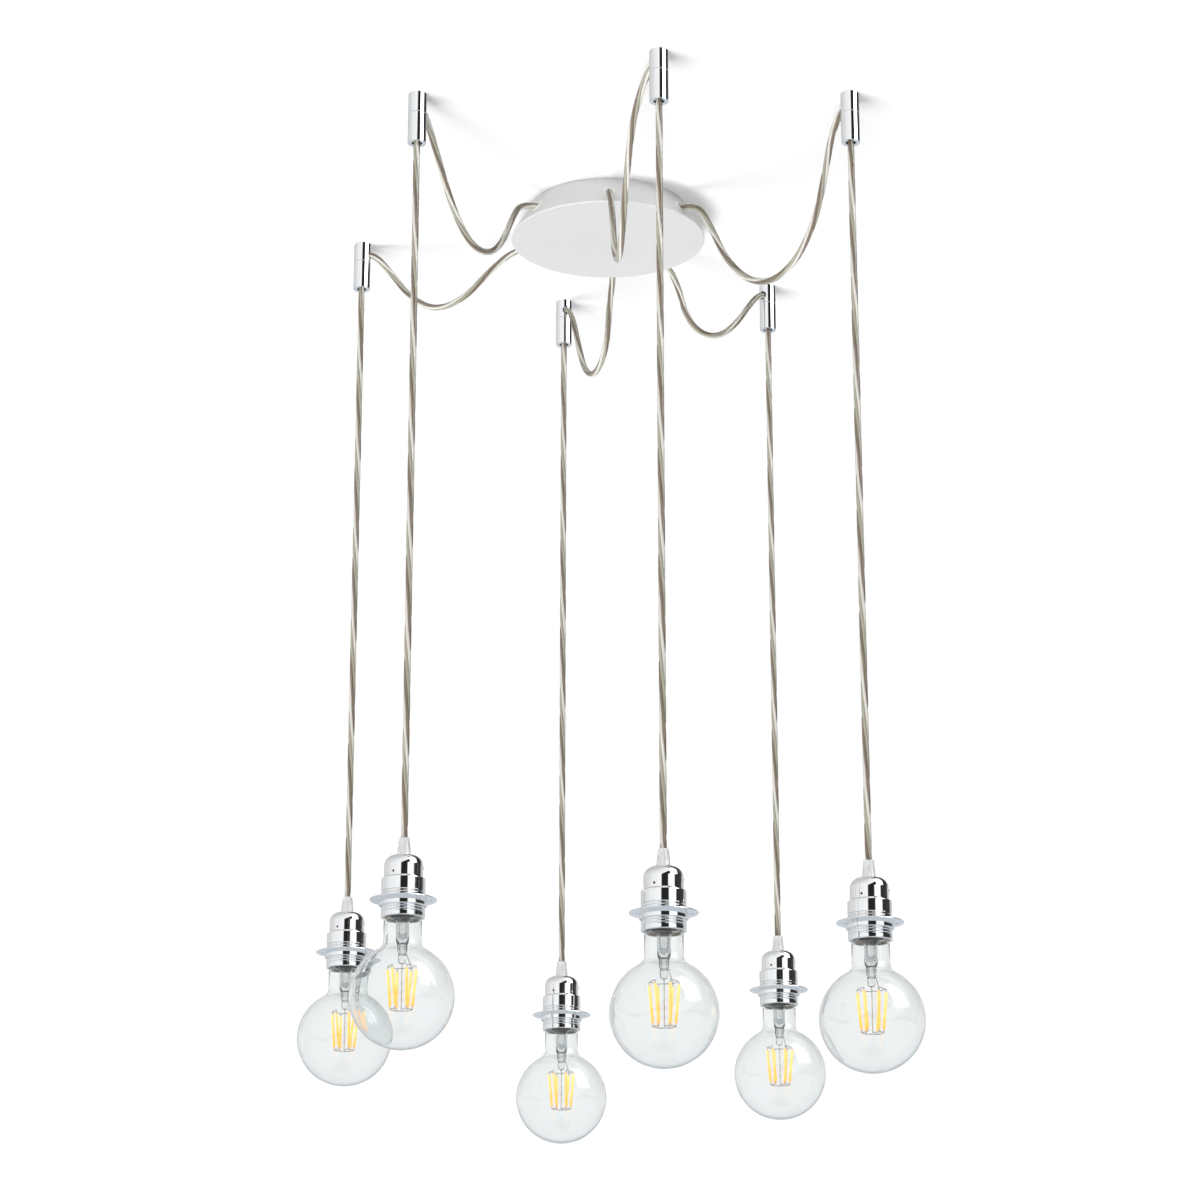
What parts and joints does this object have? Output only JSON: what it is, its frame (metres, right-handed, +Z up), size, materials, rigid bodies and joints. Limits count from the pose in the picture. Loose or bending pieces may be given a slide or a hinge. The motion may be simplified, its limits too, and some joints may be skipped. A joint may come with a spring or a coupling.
{
  "type": "cluster pendant",
  "caption": "Ceiling pendant: a round canopy feeds cables over separate ceiling hooks to bare lampholders with globe bulbs at uneven heights.",
  "frame": {"origin": "centre of the canopy in the ceiling plane, midway between its two ceiling screw holes", "axes": "+Z up into the ceiling, -Y towards the side the picture is taken from, +X to the right"},
  "size_m": [0.592, 0.725, 0.9605],
  "materials": {
    "canopy_white": "satin white paint",
    "bracket_steel": "zinc plated",
    "terminal_block": "moulded",
    "bushing_white": "moulded",
    "hook_chrome": "polished",
    "cable": "clear jacket over tinned twisted cores",
    "grip_clear": "clear moulded",
    "holder_chrome": "polished",
    "insulator": "matt with brass screw shell",
    "ring_chrome": "polished",
    "bulb_glass": "clear blown",
    "bulb_cap": "rolled screw cap with stem and filaments"
  },
  "bodies": {
    "root": {"canopy_cover": "canopy_white", "canopy_bracket": "bracket_steel", "terminal_block": "terminal_block", "cable_bushings": "bushing_white", "hook_bases": "hook_chrome", "hook_sleeves": "hook_chrome", "swag_cord_1": "cable", "swag_cord_2": "cable", "swag_cord_3": "cable", "swag_cord_4": "cable", "swag_cord_5": "cable", "swag_cord_6": "cable"},
    "pendant_1": {"drop_cord_1": "cable", "cord_grip_1": "grip_clear", "holder_cap_1": "holder_chrome", "holder_body_1": "holder_chrome", "holder_core_1": "insulator"},
    "ring_1": {"shade_ring_1": "ring_chrome"},
    "bulb_1": {"bulb_globe_1": "bulb_glass"},
    "base_1": {"bulb_base_1": "bulb_cap"},
    "pendant_2": {"drop_cord_2": "cable", "cord_grip_2": "grip_clear", "holder_cap_2": "holder_chrome", "holder_body_2": "holder_chrome", "holder_core_2": "insulator"},
    "ring_2": {"shade_ring_2": "ring_chrome"},
    "bulb_2": {"bulb_globe_2": "bulb_glass"},
    "base_2": {"bulb_base_2": "bulb_cap"},
    "pendant_3": {"drop_cord_3": "cable", "cord_grip_3": "grip_clear", "holder_cap_3": "holder_chrome", "holder_body_3": "holder_chrome", "holder_core_3": "insulator"},
    "ring_3": {"shade_ring_3": "ring_chrome"},
    "bulb_3": {"bulb_globe_3": "bulb_glass"},
    "base_3": {"bulb_base_3": "bulb_cap"},
    "pendant_4": {"drop_cord_4": "cable", "cord_grip_4": "grip_clear", "holder_cap_4": "holder_chrome", "holder_body_4": "holder_chrome", "holder_core_4": "insulator"},
    "ring_4": {"shade_ring_4": "ring_chrome"},
    "bulb_4": {"bulb_globe_4": "bulb_glass"},
    "base_4": {"bulb_base_4": "bulb_cap"},
    "pendant_5": {"drop_cord_5": "cable", "cord_grip_5": "grip_clear", "holder_cap_5": "holder_chrome", "holder_body_5": "holder_chrome", "holder_core_5": "insulator"},
    "ring_5": {"shade_ring_5": "ring_chrome"},
    "bulb_5": {"bulb_globe_5": "bulb_glass"},
    "base_5": {"bulb_base_5": "bulb_cap"},
    "pendant_6": {"drop_cord_6": "cable", "cord_grip_6": "grip_clear", "holder_cap_6": "holder_chrome", "holder_body_6": "holder_chrome", "holder_core_6": "insulator"},
    "ring_6": {"shade_ring_6": "ring_chrome"},
    "bulb_6": {"bulb_globe_6": "bulb_glass"},
    "base_6": {"bulb_base_6": "bulb_cap"}
  },
  "joints": [
    {"name": "swing_1", "type": "hinge", "parent": "root", "child": "pendant_1", "pos_m": [-0.265, 0.096, -0.047], "axis": [0.3406, 0.9402, 0], "range_deg": [-10, 10]},
    {"name": "ring_feed_1", "type": "slide", "parent": "pendant_1", "child": "ring_1", "axis": [0, 0, 1], "range_m": [-0.007, 0.009]},
    {"name": "bulb_feed_1", "type": "slide", "parent": "pendant_1", "child": "bulb_1", "axis": [0, 0, -1], "range_m": [0, 0.02177]},
    {"name": "bulb_turn_1", "type": "hinge", "parent": "bulb_1", "child": "base_1", "pos_m": [-0.265, 0.096, -0.792], "axis": [0, 0, -1], "range_deg": [0, 2160]},
    {"name": "swing_2", "type": "hinge", "parent": "root", "child": "pendant_2", "pos_m": [-0.188, -0.276, -0.047], "axis": [-0.8265, 0.563, 0], "range_deg": [-10, 10]},
    {"name": "ring_feed_2", "type": "slide", "parent": "pendant_2", "child": "ring_2", "axis": [0, 0, 1], "range_m": [-0.007, 0.009]},
    {"name": "bulb_feed_2", "type": "slide", "parent": "pendant_2", "child": "bulb_2", "axis": [0, 0, -1], "range_m": [0, 0.02177]},
    {"name": "bulb_turn_2", "type": "hinge", "parent": "bulb_2", "child": "base_2", "pos_m": [-0.188, -0.276, -0.812], "axis": [0, 0, -1], "range_deg": [0, 2160]},
    {"name": "swing_3", "type": "hinge", "parent": "root", "child": "pendant_3", "pos_m": [-0.047, 0.259, -0.047], "axis": [0.9839, 0.1786, 0], "range_deg": [-10, 10]},
    {"name": "ring_feed_3", "type": "slide", "parent": "pendant_3", "child": "ring_3", "axis": [0, 0, 1], "range_m": [-0.007, 0.009]},
    {"name": "bulb_feed_3", "type": "slide", "parent": "pendant_3", "child": "bulb_3", "axis": [0, 0, -1], "range_m": [0, 0.02177]},
    {"name": "bulb_turn_3", "type": "hinge", "parent": "bulb_3", "child": "base_3", "pos_m": [-0.047, 0.259, -0.829], "axis": [0, 0, -1], "range_deg": [0, 2160]},
    {"name": "swing_4", "type": "hinge", "parent": "root", "child": "pendant_4", "pos_m": [0.044, -0.371, -0.047], "axis": [-0.993, -0.1178, 0], "range_deg": [-10, 10]},
    {"name": "ring_feed_4", "type": "slide", "parent": "pendant_4", "child": "ring_4", "axis": [0, 0, 1], "range_m": [-0.007, 0.009]},
    {"name": "bulb_feed_4", "type": "slide", "parent": "pendant_4", "child": "bulb_4", "axis": [0, 0, -1], "range_m": [0, 0.02177]},
    {"name": "bulb_turn_4", "type": "hinge", "parent": "bulb_4", "child": "base_4", "pos_m": [0.044, -0.371, -0.842], "axis": [0, 0, -1], "range_deg": [0, 2160]},
    {"name": "swing_5", "type": "hinge", "parent": "root", "child": "pendant_5", "pos_m": [0.181, 0.212, -0.047], "axis": [0.7605, -0.6493, 0], "range_deg": [-10, 10]},
    {"name": "ring_feed_5", "type": "slide", "parent": "pendant_5", "child": "ring_5", "axis": [0, 0, 1], "range_m": [-0.007, 0.009]},
    {"name": "bulb_feed_5", "type": "slide", "parent": "pendant_5", "child": "bulb_5", "axis": [0, 0, -1], "range_m": [0, 0.02177]},
    {"name": "bulb_turn_5", "type": "hinge", "parent": "bulb_5", "child": "base_5", "pos_m": [0.181, 0.212, -0.81], "axis": [0, 0, -1], "range_deg": [0, 2160]},
    {"name": "swing_6", "type": "hinge", "parent": "root", "child": "pendant_6", "pos_m": [0.232, -0.281, -0.047], "axis": [-0.7711, -0.6367, 0], "range_deg": [-10, 10]},
    {"name": "ring_feed_6", "type": "slide", "parent": "pendant_6", "child": "ring_6", "axis": [0, 0, 1], "range_m": [-0.007, 0.009]},
    {"name": "bulb_feed_6", "type": "slide", "parent": "pendant_6", "child": "bulb_6", "axis": [0, 0, -1], "range_m": [0, 0.02177]},
    {"name": "bulb_turn_6", "type": "hinge", "parent": "bulb_6", "child": "base_6", "pos_m": [0.232, -0.281, -0.833], "axis": [0, 0, -1], "range_deg": [0, 2160]}
  ],
  "couplings": [
    {"joint": "bulb_turn_1", "follows": "bulb_feed_1", "rad_per_m": 1730.9},
    {"joint": "bulb_turn_2", "follows": "bulb_feed_2", "rad_per_m": 1730.9},
    {"joint": "bulb_turn_3", "follows": "bulb_feed_3", "rad_per_m": 1730.9},
    {"joint": "bulb_turn_4", "follows": "bulb_feed_4", "rad_per_m": 1730.9},
    {"joint": "bulb_turn_5", "follows": "bulb_feed_5", "rad_per_m": 1730.9},
    {"joint": "bulb_turn_6", "follows": "bulb_feed_6", "rad_per_m": 1730.9}
  ]
}
